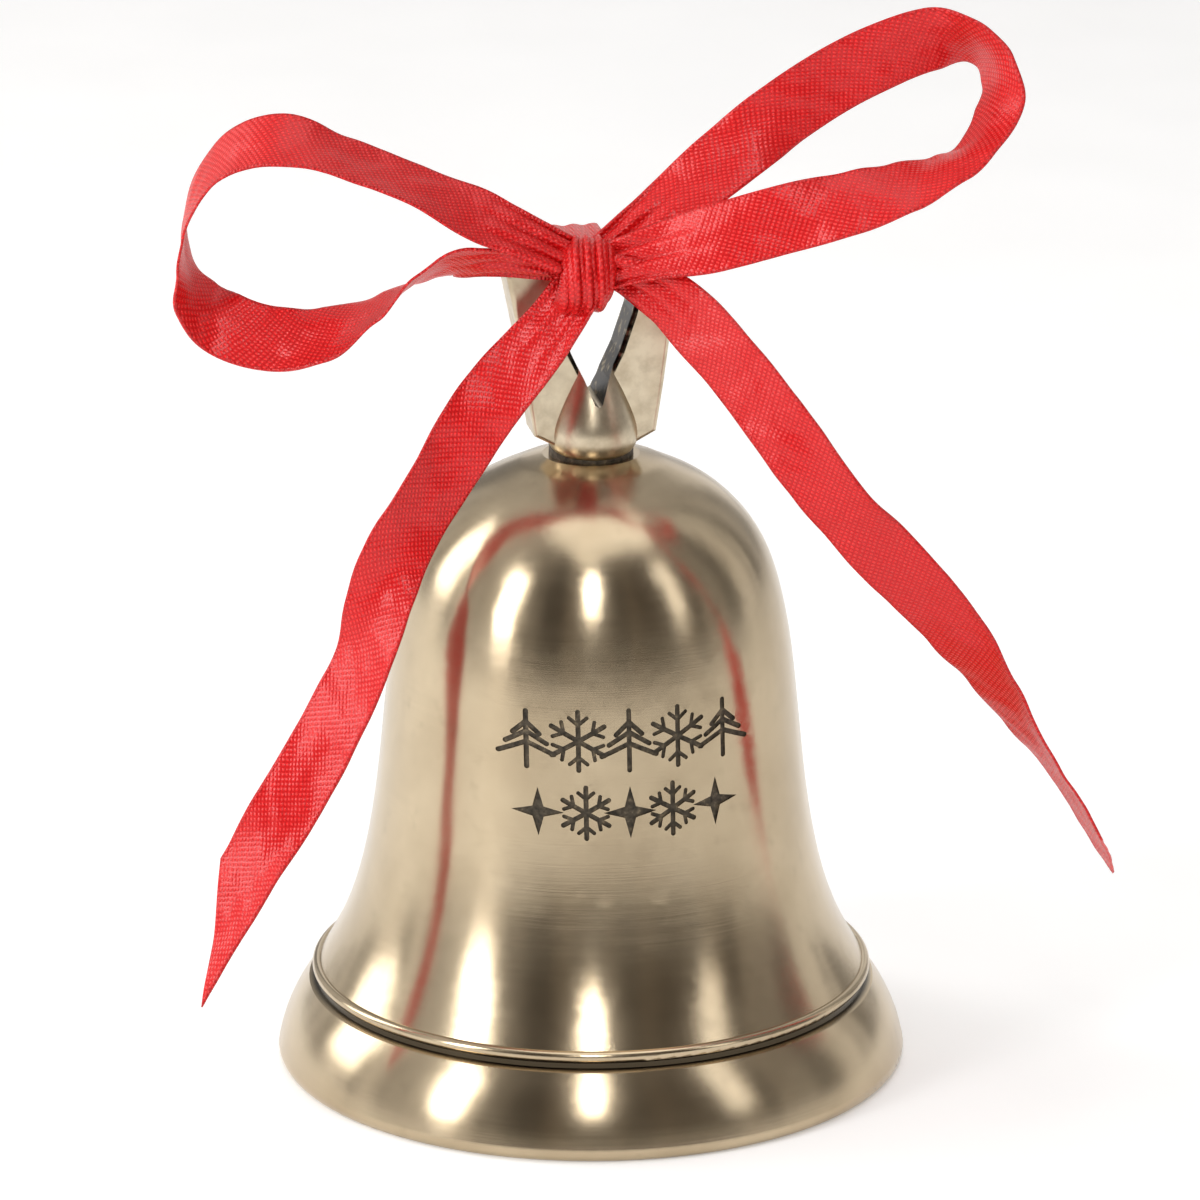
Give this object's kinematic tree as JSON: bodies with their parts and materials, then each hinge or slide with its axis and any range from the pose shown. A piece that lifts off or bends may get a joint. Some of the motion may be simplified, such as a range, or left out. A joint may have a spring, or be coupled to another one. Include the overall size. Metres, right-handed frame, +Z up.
{
  "type": "christmas bell ornament",
  "caption": "Small flared brass bell with a cast loop handle, a swinging clapper on a link, engraved winter motifs and a satin ribbon bow.",
  "frame": {"origin": "on the bell's axis, on the plane that the rim stands on", "axes": "+Z up along the bell's axis, -Y out of the engraved front, +X to the right of the front"},
  "size_m": [0.0879, 0.0602, 0.1011],
  "materials": {
    "bell_brass": "brushed and lacquered",
    "handle_brass": "satin cast",
    "aged_brass": "dark patina",
    "plain_brass": "drawn wire",
    "clapper_brass": "turned",
    "steel_fixings": "plated",
    "dark_infill": "matt lacquer",
    "red_satin": "woven satin"
  },
  "bodies": {
    "bell": {"bell_body": "bell_brass", "engraving_infill": "dark_infill", "neck_collar": "aged_brass", "handle_loop": "handle_brass", "eye_bolt": "plain_brass", "inner_washer": "steel_fixings", "hex_nut": "steel_fixings", "ribbon_knot": "red_satin", "ribbon_wrap": "red_satin", "ribbon_loop_left": "red_satin", "ribbon_loop_right": "red_satin", "ribbon_tail_left": "red_satin", "ribbon_tail_right": "red_satin"},
    "link": {"clapper_link": "plain_brass"},
    "clapper": {"clapper_rod": "plain_brass", "clapper_ball": "clapper_brass"}
  },
  "joints": [
    {"name": "link_swing", "type": "hinge", "parent": "bell", "child": "link", "pos_m": [0, 0, 0.0497], "axis": [1, 0, 0], "range_deg": [-17, 17]},
    {"name": "clapper_swing", "type": "hinge", "parent": "link", "child": "clapper", "pos_m": [0, 0, 0.04685], "axis": [0, 1, 0], "range_deg": [-17, 17]}
  ]
}
